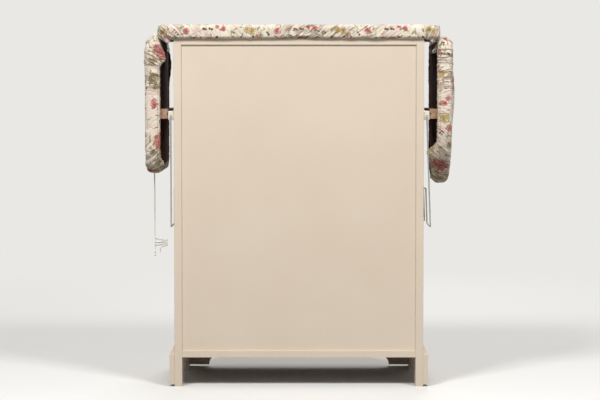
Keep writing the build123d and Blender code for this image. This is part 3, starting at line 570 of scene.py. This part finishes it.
    # the weave, drawn coarser than the real thread so that it shows
    parts = addNode(tree, "ShaderNodeSeparateXYZ", None, {0: cloth})
    warp = addNode(tree, "ShaderNodeMath", {"operation": "MULTIPLY"}, {0: parts.outputs[0], 1: 2 * pi / cotton["thread"]})
    warp = addNode(tree, "ShaderNodeMath", {"operation": "SINE"}, {0: warp.outputs[0]})
    weft = addNode(tree, "ShaderNodeMath", {"operation": "MULTIPLY"}, {0: parts.outputs[1], 1: 2 * pi / cotton["thread"]})
    weft = addNode(tree, "ShaderNodeMath", {"operation": "SINE"}, {0: weft.outputs[0]})
    slub = addNode(tree, "ShaderNodeTexNoise", {"noise_dimensions": "2D"}, {"Vector": cloth, "Scale": 260.0, "Detail": 3.0})
    weave = addNode(tree, "ShaderNodeMath", {"operation": "MULTIPLY"}, {0: warp.outputs[0], 1: weft.outputs[0]})
    height = addNode(tree, "ShaderNodeMath", {"operation": "MULTIPLY_ADD"},
                     {0: weave.outputs[0], 1: 0.25, 2: slub.outputs["Fac"]})
    bump = addNode(tree, "ShaderNodeBump", None, {"Height": height.outputs[0], "Strength": 0.35, "Distance": 0.0005})
    folds = addNode(tree, "ShaderNodeBump", {"invert": True},
                    {"Height": crease.outputs[0], "Strength": 0.8, "Distance": 0.0022, "Normal": bump.outputs[0]})
    tree.links.new(folds.outputs[0], shader.inputs["Normal"])
    return finish


makeCamera()
makeLight()
makeFloor()
print("camera, light and floor ready")

creamPaint = paintedWood("creamEnamel", "#E3D4C1", "#DECEBA")
railPaint = paintedWood("whiteEnamel", "#EFE9DE", "#E4DCCE")
darkBoard = woodGrain("stainedPly", "#73401F", "#482712", (30, 8, 8), 0.85)
rawWood = woodGrain("barePine", "#BB9B84", "#9C7A62", (90, 6, 90), 0.7)
steel = zincSteel()
plastic = mattePlastic()
cordFinish = cottonCord()
floral = floralCotton()

for node in frame["record"]["subparts"]:
    finish = {"cream_paint": creamPaint, "rail_paint": railPaint, "dark_board": darkBoard, "raw_wood": rawWood,
              "steel": steel, "catch": plastic}.get(node["material_slot"])
    if finish:
        dress([node["node"]], finish)
print("finishes on")


# ---- cords ----
cords = {
    "diameter": 2.6, "shiftY": -7.25, "strands": 3, "lay": 9.0,  # lay: length of one twist
    "straight": [(-362.35, -120.7, 533.5), (-362.95, -121.4, 483.5), (-362.75, -122.6, 428.5),
                 (-361.75, -123.9, 377.5), (-361.15, -124.9, 327.5)],
    "wound": [(-362.35, -117.3, 533.5), (-361.85, -116.9, 493.5), (-361.75, -115.6, 448.5),
              (-362.25, -114.7, 403.5), (-362.35, -114.5, 371.0), (-361.3, -114.5, 367.1),
              (-358.4, -114.5, 364.2), (-354.5, -114.5, 363.2), (-348.5, -113.4, 362.4), (-343.5, -109.9, 361.6)],
    "tail": [(-341.6, -121.9, 345.3), (-345.0, -121.9, 344.4), (-347.6, -121.9, 341.8), (-348.5, -121.9, 338.2),
             (-348.7, -121.8, 331.5)],
    "hank": {"start": 5, "turns": 43, "middle": (-346.65, -114.5), "reach": 15.7, "depth": 7.8, "top": 362.3,
             "pitch": 6.0, "slope": 2.0},
}


def smoothRoute(name, points):
    # one NURBS line through space, read back as a chain of points
    curve = bpy.data.curves.new(name, "CURVE")
    curve.dimensions = "3D"
    curve.resolution_u = 10
    spline = curve.splines.new("NURBS")
    spline.points.add(len(points) - 1)
    for point, place in zip(spline.points, points):
        point.co = (place[0] * mm, (place[1] + cords["shiftY"]) * mm, place[2] * mm, 1)
    spline.order_u = 3
    spline.use_endpoint_u = True
    holder = bpy.data.objects.new(name, curve)
    line = bpy.data.meshes.new_from_object(holder)
    route = [vertex.co.copy() for vertex in line.vertices]
    bpy.data.objects.remove(holder)
    bpy.data.meshes.remove(line)
    return route


def twistedCord(name, points, diameter, around=15):
    # a round cord with its strands laid in a helix
    route = smoothRoute(name + "Line", points)
    shape = bmesh.new()
    rings, travelled = [], 0.0
    side = (route[1] - route[0]).orthogonal().normalized()
    for i, place in enumerate(route):
        ahead = (route[min(i + 1, len(route) - 1)] - route[max(i - 1, 0)]).normalized()
        side = (side - ahead * side.dot(ahead)).normalized()
        up = ahead.cross(side)
        travelled += (place - route[max(i - 1, 0)]).length
        ring = []
        for k in range(around):
            angle = 2 * pi * k / around
            swell = abs(cos(cords["strands"] / 2 * (angle - 2 * pi * travelled / (cords["lay"] * mm))))
            radius = diameter / 2 * mm * (0.82 + 0.18 * swell)
            ring.append(shape.verts.new(place + side * radius * cos(angle) + up * radius * sin(angle)))
        if rings:
            for k in range(around):
                shape.faces.new((rings[-1][k], rings[-1][(k + 1) % around], ring[(k + 1) % around], ring[k]))
        rings.append(ring)
    shape.faces.new(reversed(rings[0]))
    shape.faces.new(rings[-1])
    bmesh.ops.recalc_face_normals(shape, faces=shape.faces)
    piece = newPiece(name, shape, True)
    piece.data.materials.append(cordFinish)
    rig.slot(piece, "cotton_cord")
    length = sum((b - a).length for a, b in zip(route, route[1:]))
    return piece, route, length


def makeDrawstrings():
    straight, route, length = twistedCord("drawstringStraight", cords["straight"], cords["diameter"])
    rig.ride(straight, "drawstrings")
    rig.replaces(straight, "drawstring_end")
    shape = bmesh.new()
    bmesh.ops.create_icosphere(shape, subdivisions=3, radius=2.9 * mm)
    low = route[-1] - Vector((0, 0, 2.6 * mm))
    for vertex in shape.verts:
        lumps = 1 + 0.22 * sin(3.0 * atan2(vertex.co.y, vertex.co.x) + vertex.co.z / mm * 1.3)
        vertex.co = Vector((vertex.co.x * lumps, vertex.co.y * lumps, vertex.co.z * 1.02)) + low
    knot = newPiece("drawstringKnot", shape, True)
    knot.data.materials.append(cordFinish)
    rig.slot(knot, "cotton_cord")
    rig.ride(knot, "drawstrings")
    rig.replaces(knot, "drawstring_knot")
    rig.cord(straight, exit=route[0], length=length, diameter=cords["diameter"] * mm, far_end="knot",
            stiffness="limp", lay="hanging", path=route, with_pieces=[knot])

    hank = cords["hank"]
    turns = []
    steps = 16
    for i in range(hank["start"], hank["turns"] + 1):
        angle = pi - 2 * pi * i / steps
        loose = 0.5 * sin(2.3 * i) + 0.4 * sin(0.37 * i)
        straight = (hank["reach"] - hank["depth"]) * max(-1.0, min(1.0, 1.6 * cos(angle)))
        turns.append((hank["middle"][0] + straight + (hank["depth"] + 0.4 * loose) * cos(angle),
                      hank["middle"][1] + (hank["depth"] + 0.3 * loose) * sin(angle),
                      hank["top"] - hank["pitch"] * (i + 1) / steps + hank["slope"] * cos(angle)))
    wound, route, length = twistedCord("drawstringWound", cords["wound"] + turns + cords["tail"],
                                       cords["diameter"], 10)
    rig.ride(wound, "drawstrings")
    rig.replaces(wound, "drawstring_wound", "drawstring_hank")
    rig.cord(wound, exit=route[0], length=length, diameter=cords["diameter"] * mm, far_end="bare",
            stiffness="limp", lay="hanging", path=route)
    print("drawstrings", round(length, 3), "m wound")


bow = {"middle": (340.2, -154.0, 841.0), "leaf": 345.1, "leafZ": 842.0, "cord": 2.1, "loop": 4.8, "cross": 40.0,
       "tilt": 57.0, "turn": 50.0, "layer": 1.4}


def makeBow():
    # one cord: out of the leaf, round the two loops of a figure of eight held by the knot, and a short end
    x, y, z = bow["middle"]
    points = [(bow["leaf"], y, bow["leafZ"]), (bow["leaf"] - 2.5, y - 0.5, bow["leafZ"] - 0.5),
              (x + 1.5, y - bow["layer"], z + 0.5)]
    cross, sweep, turn = radians(bow["cross"]), radians(90 + bow["cross"]), radians(bow["turn"])
    away = bow["loop"] / sin(cross)
    for side, tilt in ((-1, bow["tilt"] + 180), (1, bow["tilt"])):
        tilt = radians(tilt)
        for i in range(13):
            angle = side * sweep * (1 - i / 6)
            along, across = away + bow["loop"] * cos(angle), bow["loop"] * sin(angle)
            layer = bow["layer"] * (side + i / 12 - (side + 1) / 2) + across * sin(turn)
            across *= cos(turn)
            points.append((x + along * cos(tilt) - across * sin(tilt), y + layer,
                           z + along * sin(tilt) + across * cos(tilt)))
    points += [(x - 1.5, y + bow["layer"], z - 0.5), (x - 5.5, y + 1.2, z - 2.6), (x - 8.2, y + 0.8, z - 6.6)]
    piece, route, length = twistedCord("coverBow", points, bow["cord"], 10)
    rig.ride(piece, "leaf_right")
    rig.replaces(piece, "drawstring_bow")
    shape = bmesh.new()
    bmesh.ops.create_uvsphere(shape, u_segments=20, v_segments=12, radius=2.5 * mm)
    middle = Vector((x, y + cords["shiftY"], z)) * mm
    for vertex in shape.verts:
        vertex.co = Vector((vertex.co.x, vertex.co.y * 1.1, vertex.co.z * (1 + 0.12 * sin(vertex.co.x / mm * 3)))) + middle
    knot = newPiece("coverBowKnot", shape, True)
    knot.data.materials.append(cordFinish)
    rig.slot(knot, "cotton_cord")
    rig.ride(knot, "leaf_right")
    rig.cord(piece, exit=route[0], length=length, diameter=bow["cord"] * mm, far_end="bare",
            stiffness="limp", lay="hanging", path=route, with_pieces=[knot])


makeDrawstrings()
makeBow()
print("cords made")

# ---- padded covers ----
# Each cover is a flat cloth laid over a lying pad and wrapped round its edge: x and y are cloth
# coordinates on the flat top, and whatever lies outside the pad's outline goes over the edge.
grid = 5.6
covers = {
    "top": {
        "size": (702.0, 381.0), "corner": 26.0, "thick": 34.5, "roll": 10.0, "lowRoll": 5.0, "hem": 6.5,
        "crown": 1.2, "seed": 3.0, "print": (0.2776, 0.203), "taper": 0.0, "puff": 0.0, "calm": 0.95,
        "zones": [((-330, -190), 90, 1.7, -1.2), ((-150, -190), 60, 0.9, -0.8), ((20, -190), 85, 2.3, 6.0),
                  ((120, -190), 75, 2.2, 5.0), ((210, -190), 60, 1.6, 1.4),
                  ((351, -190), 75, 1.6, 0.6), ((-351, 190), 80, 1.8, -0.8), ((351, 190), 80, 1.8, 0.8),
                  ((130, 190), 90, 1.3, 0.5)],
        "flares": [((-325, -190), (9, 9, 20), 13.0), ((329, -190), (6, 6, 20), 9.0)],
    },
    "left": {
        "size": (330.0, 381.0), "corner": 55.0, "hingeCorner": 16.0, "thick": 34.5, "roll": 12.0,
        "lowRoll": 5.5, "hem": 13.0, "crown": 1.0, "seed": 11.0, "print": (-0.050, 0.353), "taper": 0.0,
        "puff": 17.0, "calm": 0.75,
        "zones": [((50, -190), 60, 1.9, -0.7), ((102, -190), 45, 2.2, 0.1), ((200, -190), 60, 0.9, 0.8),
                  ((300, -165), 70, 2.2, 0.7), ((30, 190), 60, 1.9, -0.8), ((300, 165), 80, 1.9, 0.6)],
        "flares": [((50, -190), (22, 6, 30), 18.0), ((306, -172), (8, 14, 22), 11.0),
                   ((60, 190), (20, 20, 30), 7.0)],
    },
    "right": {
        "size": (361.0, 381.0), "nose": 150.0, "hingeCorner": 16.0, "thick": 34.5, "roll": 12.0,
        "lowRoll": 5.5, "hem": 26.0, "crown": 1.0, "seed": 23.0, "print": (-0.130, 0.278), "taper": 0.17,
        "puff": 17.0, "calm": 1.1,
        "zones": [((70, -190), 80, 2.2, 0.1), ((70, 190), 90, 2.1, 0.1), ((240, -180), 60, 1.5, 0.7),
                  ((320, -110), 90, 2.4, 0.8), ((350, 0), 90, 2.0, 0.0), ((320, 110), 110, 1.9, -0.7)],
        "flares": [((280, -146), (8, 20, 60), 28.0), ((322, -108), (20, 30, 40), 8.0),
                   ((352, -40), (30, 30, 60), 8.0), ((320, 115), (30, 30, 50), 4.0)],
    },
}


def arcPoints(middle, radii, start, end, step=1.5):
    count = max(4, ceil(abs(end - start) * max(radii) / step))
    return [(middle[0] + radii[0] * cos(start + (end - start) * i / count),
             middle[1] + radii[1] * sin(start + (end - start) * i / count)) for i in range(count + 1)]


def coverOutline(cover):
    # the pad's outline, drawn in by its upper rounding, anticlockwise
    inset = cover["roll"]
    length, width = cover["size"]
    half = width / 2
    if "hingeCorner" not in cover:
        left, right = -length / 2, length / 2
        near = far = cover["corner"]
    else:
        left, right = 0.0, length
        near, far = cover["hingeCorner"], cover.get("corner")
    low = near - inset
    points = arcPoints((left + near, half - near), (low, low), pi / 2, pi)
    points += arcPoints((left + near, near - half), (low, low), pi, 1.5 * pi)
    if "nose" in cover:
        shoulder = length - cover["nose"]
        points += arcPoints((shoulder, 0), (cover["nose"] - inset, half - inset), 1.5 * pi, 2.5 * pi)
    else:
        high = far - inset
        points += arcPoints((right - far, far - half), (high, high), 1.5 * pi, 2 * pi)
        points += arcPoints((right - far, half - far), (high, high), 0, pi / 2)
    return points


def edgeProfile(cover, s):
    # how far out and how high the cloth is after s along it from the flat top, and its tilt
    upper, lower, thick = cover["roll"], cover["lowRoll"], cover["thick"]
    first = upper * pi / 2
    second = first + thick - upper - lower
    third = second + lower * pi / 2
    if s < first:
        tilt = s / upper
        return upper * sin(tilt), thick - upper + upper * cos(tilt), tilt
    if s < second:
        return upper, thick - upper - (s - first), pi / 2
    if s < third:
        tilt = pi / 2 + (s - second) / lower
        return upper - lower + lower * sin(tilt), lower + lower * cos(tilt), tilt
    return upper - lower - (s - third), 0.0, pi


def edgeFinder(outline, swell):
    # for a cloth point: distance, nearest outline point, run round the pad's side and which side it is on
    lengths = [0.0]
    heading = pi  # the outline sets off leftwards along the far edge
    for a, b in zip(outline, outline[1:] + outline[:1]):
        length = hypot(b[0] - a[0], b[1] - a[1])
        if length > 1e-6:
            toward = atan2(b[1] - a[1], b[0] - a[0])
            turned = (toward - heading + pi) % (2 * pi) - pi
            heading = toward
        lengths.append(lengths[-1] + length + swell * turned)
    tree = kdtree.KDTree(len(outline))
    for i, (x, y) in enumerate(outline):
        tree.insert((x, y, 0), i)
    tree.balance()

    def find(x, y):
        near, index, _ = tree.find((x, y, 0))
        best = None
        for i in (index - 1, index):
            ax, ay = outline[i % len(outline)]
            bx, by = outline[(i + 1) % len(outline)]
            length = hypot(bx - ax, by - ay)
            if length < 1e-6:
                continue
            t = max(0.0, min(1.0, ((x - ax) * (bx - ax) + (y - ay) * (by - ay)) / length ** 2))
            px, py = ax + t * (bx - ax), ay + t * (by - ay)
            far = hypot(x - px, y - py)
            if best is None or far < best[0]:
                side = (x - ax) * (by - ay) - (y - ay) * (bx - ax)
                start = lengths[i % len(outline)]
                span = lengths[i % len(outline) + 1] - start
                best = (far, px, py, start + t * span, side > 0)
        return best
    return find


def smoothStep(value, low, high):
    t = max(0.0, min(1.0, (value - low) / (high - low)))
    return t * t * (3 - 2 * t)


def wrapCloth(cover, find):
    # the flat cloth laid over the pad and round its edge, with its hem drawn in
    outline = coverOutline(cover)
    upper, lower, thick = cover["roll"], cover["lowRoll"], cover["thick"]
    third = upper * pi / 2 + thick - upper - lower + lower * pi / 2
    reach = third + cover["hem"]
    lowX, highX = min(p[0] for p in outline), max(p[0] for p in outline)
    lowY, highY = min(p[1] for p in outline), max(p[1] for p in outline)
    across, along = highX - lowX + 2 * reach, highY - lowY + 2 * reach
    middleX, middleY = (lowX + highX) / 2, (lowY + highY) / 2
    shape = bmesh.new()
    bmesh.ops.create_grid(shape, x_segments=ceil(across / grid), y_segments=ceil(along / grid), size=0.5)
    layer = shape.loops.layers.uv.new("cloth")
    cut, gone, held = {}, [], []
    for vertex in shape.verts:
        x, y = middleX + vertex.co.x * across, middleY + vertex.co.y * along
        cut[vertex] = (x, y)
        far, px, py, run, outside = find(x, y)
        s = far if outside else -far
        if s > reach + 0.75 * grid:
            gone.append(vertex)
            continue
        if s > reach:  # the last row is drawn onto the hem's edge
            nx, ny = (x - px) / far, (y - py) / far
            x, y, s = px + nx * reach, py + ny * reach, reach
            cut[vertex] = (x, y)
        if s > reach - 5:
            held.append(vertex)
        if s <= 0:
            rise = cover["crown"] * (1 - exp(s / 40))
            position = Vector((x, y, thick + rise))
        else:
            nx, ny = (x - px) / far, (y - py) / far
            out, high, tilt = edgeProfile(cover, s)
            hang = max(0.0, s - third) / cover["hem"]
            for (fx, fy), spreads, amount in cover["flares"]:
                spread = spreads[0] if px < fx else spreads[1]
                close = exp(-((px - fx) / spread) ** 2 / 2 - ((py - fy) / spreads[2]) ** 2 / 2)
                high -= amount * close * (0.95 + 0.1 * sin(run / 9 + fx)) * hang ** 0.8
                out += 0.72 * cover["hem"] * close * hang
            gather = 1.0 * hang * sin(run / 2.6 + 3 * noise.noise(Vector((run / 25, 0, cover["seed"]))))
            position = Vector((px + nx * out, py + ny * out, high - gather - 0.4 * hang))
            if cover["puff"] and nx < 0:
                # the pad's upper edge swells up beside the hinge
                level = max(0.0, position.z / thick)
                position.x += nx * cover["puff"] * max(0.0, sin(pi * min(1.0, level * 1.15) ** 0.62))
                position.z -= 0.25 * position.z * exp(-(max(position.x + 10, 0) / 18) ** 1.8)
        if cover["taper"]:
            position.z *= 1 - cover["taper"] * smoothStep(position.x, 140, 300) * max(0.0, position.z) / thick
        vertex.co = position
    bmesh.ops.delete(shape, geom=gone, context="VERTS")
    for face in shape.faces:
        for loop in face.loops:
            x, y = cut[loop.vert]
            loop[layer].uv = (x * mm, y * mm)
    return shape, cut, set(held)


settle = {  # the cloth is settled at five times a model's size, where Blender's cloth is steady
    "scale": 0.005, "frames": 16, "quality": 5, "mass": 0.2, "tension": 15.0, "compression": 10.0, "shear": 4.0,
    "bending": 0.05, "room": 1.012, "boardGap": 2.4, "contact": 1.2,
}


def paddedBoard(name, cover):
    # what the cloth settles on: the outline drawn out ring by ring into a rounded pad
    gap, scale = settle["boardGap"], settle["scale"]
    swell, thick = cover["roll"] - gap, cover["thick"] - gap
    steps = [(0.6 * swell, gap), (swell, gap + 5)]
    steps += [(swell * cos(pi * i / 8), thick - swell + swell * sin(pi * i / 8)) for i in range(5)]
    outline = coverOutline(cover)
    shape = bmesh.new()
    for x, y in outline:
        shape.verts.new((x, y, gap))
    bmesh.ops.remove_doubles(shape, verts=shape.verts, dist=0.05)
    floor = shape.faces.new(shape.verts[:])
    floor.normal_update()
    if floor.normal.z > 0:
        floor.normal_flip()
    around = [(v, v.co.copy()) for v in floor.verts]
    normals = []
    for i, (_, place) in enumerate(around):
        run = around[(i + 1) % len(around)][1] - around[i - 1][1]
        normals.append(Vector((-run.y, run.x, 0)).normalized())
    ring = [v for v, _ in around]
    rim = [shape.edges.get((ring[i], ring[(i + 1) % len(ring)])) for i in range(len(ring))]
    for out, high in steps + [(-6.0, thick)]:
        grown = bmesh.ops.extrude_edge_only(shape, edges=rim)["geom"]
        fresh = {v for v in grown if isinstance(v, bmesh.types.BMVert)}
        follow = {}
        for edge in shape.edges:
            for a, b in (edge.verts, reversed(edge.verts)):
                if a in fresh and b not in fresh:
                    follow[b] = a
        ring = [follow[v] for v in ring]
        for vertex, (_, place), normal in zip(ring, around, normals):
            vertex.co = place + normal * out
            vertex.co.z = high
        rim = [shape.edges.get((ring[i], ring[(i + 1) % len(ring)])) for i in range(len(ring))]
    bmesh.ops.contextual_create(shape, geom=rim)
    bmesh.ops.recalc_face_normals(shape, faces=shape.faces)
    bmesh.ops.triangulate(shape, faces=[f for f in shape.faces if len(f.verts) > 4])
    bmesh.ops.scale(shape, verts=shape.verts, vec=(scale, scale, scale))
    board = newPiece(name, shape)
    board.modifiers.new("hard", "COLLISION")
    board.collision.thickness_outer = 0.6 * scale
    board.collision.cloth_friction = 5
    return board


def settleCloth(name, shape, cover, cut, held):
    # the cloth finds its own puffs and hollows over the pad; its hem stays held by the drawstring
    scale = settle["scale"]
    shape.verts.index_update()
    mesh = bpy.data.meshes.new(name)
    shape.to_mesh(mesh)
    mesh.transform(Matrix.Scale(scale, 4))
    draft = bpy.data.objects.new(name, mesh)
    bpy.context.scene.collection.objects.link(draft)
    draft.shape_key_add(name="worn")
    flat = draft.shape_key_add(name="flat")
    room = scale * settle["room"]
    for vertex in shape.verts:
        flat.data[vertex.index].co = (cut[vertex][0] * room, cut[vertex][1] * room, 0)
    group = draft.vertex_groups.new(name="held")
    group.add([v.index for v in shape.verts if v in held], 1.0, "REPLACE")
    fabric = draft.modifiers.new("cloth", "CLOTH")
    fabric.settings.quality = settle["quality"]
    fabric.settings.mass = settle["mass"]
    fabric.settings.tension_stiffness = settle["tension"]
    fabric.settings.compression_stiffness = settle["compression"]
    fabric.settings.shear_stiffness = settle["shear"]
    fabric.settings.bending_stiffness = settle["bending"]
    fabric.settings.vertex_group_mass = "held"
    fabric.settings.rest_shape_key = flat
    fabric.settings.effector_weights.gravity = 0
    fabric.collision_settings.distance_min = settle["contact"] * scale
    fabric.collision_settings.use_self_collision = False
    board = paddedBoard(name + "Board", cover)
    for step in range(1, settle["frames"] + 1):
        bpy.context.scene.frame_set(step)
    worn = draft.evaluated_get(bpy.context.evaluated_depsgraph_get()).to_mesh()
    farthest = 0.0
    for vertex in shape.verts:
        move = worn.vertices[vertex.index].co / scale - vertex.co
        if move.length > 12:  # nothing strays
            move *= 12 / move.length
        farthest = max(farthest, move.length)
        vertex.co += move
    bpy.context.scene.frame_set(1)
    bpy.data.objects.remove(draft)
    bpy.data.objects.remove(board)
    print(name, "moved up to", round(farthest, 1), "mm")


def ridges(x, y, seed):
    # rounded folds with narrow valleys, from 0 to 1
    return (1 - abs(noise.noise(Vector((x, y, seed))))) ** 2.2


def pleats(u, v, seed):
    # a broad, a fine and a very fine set of folds running along v
    return ridges(u / 19, v / 90, seed), ridges(u / 8.5, v / 42, seed + 5), ridges(u / 5.2, v / 26, seed + 7)


def foldCloth(piece, cover, find):
    # gathers and folds over the edge, and how deep each point lies in them, for the finish's painted shade
    mesh = piece.data
    place = mesh.uv_layers["cloth"].data
    spot = [None] * len(mesh.vertices)
    for loop in mesh.loops:
        if spot[loop.vertex_index] is None:
            spot[loop.vertex_index] = place[loop.index].uv / mm
    third = cover["roll"] * pi / 2 + cover["thick"] - cover["roll"] - cover["lowRoll"] + cover["lowRoll"] * pi / 2
    seed = cover["seed"]
    zones = [(*point, find(*point)[3], spread / 1.5, amount, atan(slope))
             for point, spread, amount, slope in cover["zones"]]
    depth = mesh.attributes.new("depth", "FLOAT", "POINT")
    pull = mesh.attributes.new("pull", "FLOAT", "POINT")
    edge = mesh.uv_layers.new(name="edge")
    moves, runs = [], []
    for vertex in mesh.vertices:
        x, y = spot[vertex.index]
        far, px, py, run, outside = find(x, y)
        s = far if outside else -far
        near = 1 / (1 + exp(-(s + 12) / 8))
        waver = 5 * noise.noise(Vector((run / 60, s / 30, seed + 2)))
        strength, lean, shares = cover["calm"], 0.0, []
        for zx, zy, start, spread, amount, turn in zones:
            close = exp(-((px - zx) ** 2 + (py - zy) ** 2) / (2 * spread ** 2))
            if close < 0.03:
                continue
            strength = max(strength, amount * close)
            lean += close * min(1.2, max(-1.2, tan(turn)))
            along = run - start
            shares.append((close, pleats(along * cos(turn) + s * sin(turn) + waver,
                                         s * cos(turn) - along * sin(turn), seed + start)))
        weight = sum(share for share, _ in shares)
        shares.append((max(0.05, 1 - weight), pleats(run + waver, s, seed)))
        whole = weight + shares[-1][0]
        broad, fine, tiny = (sum(share * folds[k] for share, folds in shares) / whole for k in range(3))
        relief = strength * near * (0.9 * (broad - 0.6) + 1.4 * (fine - 0.6) + 0.35 * (tiny - 0.6))
        relief += 1.1 * noise.noise(Vector((x / 85, y / 85, seed + 9)))
        calmer = 1 - 0.5 * smoothStep(s, third - 4, third + 6)
        moves.append(vertex.normal * relief * calmer * mm)
        runs.append(((run + lean / whole * s + waver) * mm, s * mm))
        # how far down a fold's valley each point lies; the finish turns this depth into painted shade
        paintedFoldShade = 1 - (0.55 * broad + 0.3 * fine + 0.15 * tiny)
        depth.data[vertex.index].value = max(0.0, min(1.0, (paintedFoldShade - 0.35) * 0.9)) * near * min(1.0, strength / 1.6)
        pull.data[vertex.index].value = near * min(1.0, max(0.15, (strength - 0.5) / 1.3))
    for vertex, move in zip(mesh.vertices, moves):
        vertex.co += move
    for loop in mesh.loops:
        edge.data[loop.index].uv = runs[loop.vertex_index]


def makeCover(name, cover, place, body, node):
    find = edgeFinder(coverOutline(cover), cover["roll"])
    shape, cut, held = wrapCloth(cover, find)
    if not quickLook:
        settleCloth(name, shape, cover, cut, held)
    for vertex in shape.verts:
        vertex.co = place(vertex.co)
    bmesh.ops.recalc_face_normals(shape, faces=shape.faces)
    draft = newPiece(name + "Draft", shape, True)
    finer = draft.modifiers.new("finer", "SUBSURF")
    finer.levels = finer.render_levels = 1
    finer.boundary_smooth = "PRESERVE_CORNERS"
    graph = bpy.context.evaluated_depsgraph_get()
    mesh = bpy.data.meshes.new_from_object(draft.evaluated_get(graph))
    mesh.name = name
    bpy.data.objects.remove(draft)
    piece = bpy.data.objects.new(name, mesh)
    bpy.context.scene.collection.objects.link(piece)
    foldCloth(piece, cover, find)
    for point in mesh.uv_layers["cloth"].data:
        point.uv += Vector(cover["print"])
    mesh.materials.append(floral)
    thickness = piece.modifiers.new("cloth", "SOLIDIFY")
    thickness.thickness = 0.9 * mm
    thickness.offset = -1
    graph = bpy.context.evaluated_depsgraph_get()
    piece.data = bpy.data.meshes.new_from_object(piece.evaluated_get(graph))
    piece.modifiers.clear()
    bpy.data.meshes.remove(mesh)
    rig.slot(piece, "cover_fabric")
    if body == "cabinet":
        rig.ride(piece, body)
    else:  # the swollen edge beside the hinge folds away between the pads when the leaf is raised
        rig.blend(piece, body, "cabinet", start=(0, 0, hinge["tuck"][0] * mm), end=(0, 0, hinge["tuck"][1] * mm))
    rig.replaces(piece, node)
    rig.padded(piece, fill=0.7)
    print(name, len(piece.data.polygons), "faces")


hinge = {"inner": 345.1, "top": 862.3, "deck": 865.5, "tuck": (860.0, 870.0)}


def onDeck(p):
    return Vector((p.x, p.y + cords["shiftY"], p.z + hinge["deck"])) * mm


def hangingRight(p):
    return Vector((hinge["inner"] + p.z, p.y + cords["shiftY"], hinge["top"] - p.x)) * mm


def hangingLeft(p):
    return Vector((-hinge["inner"] - p.z, p.y + cords["shiftY"], hinge["top"] - p.x)) * mm


makeCover("topCover", covers["top"], onDeck, "cabinet", "top_pad")
makeCover("leftLeafCover", covers["left"], hangingLeft, "leaf_left", "leaf_pad_left")
makeCover("rightLeafCover", covers["right"], hangingRight, "leaf_right", "leaf_pad_right")
print("covers made")

with open("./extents.json", "w") as sizes:
    json.dump([list(map(list, cadBox)), list(map(list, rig.bounds()))], sizes)
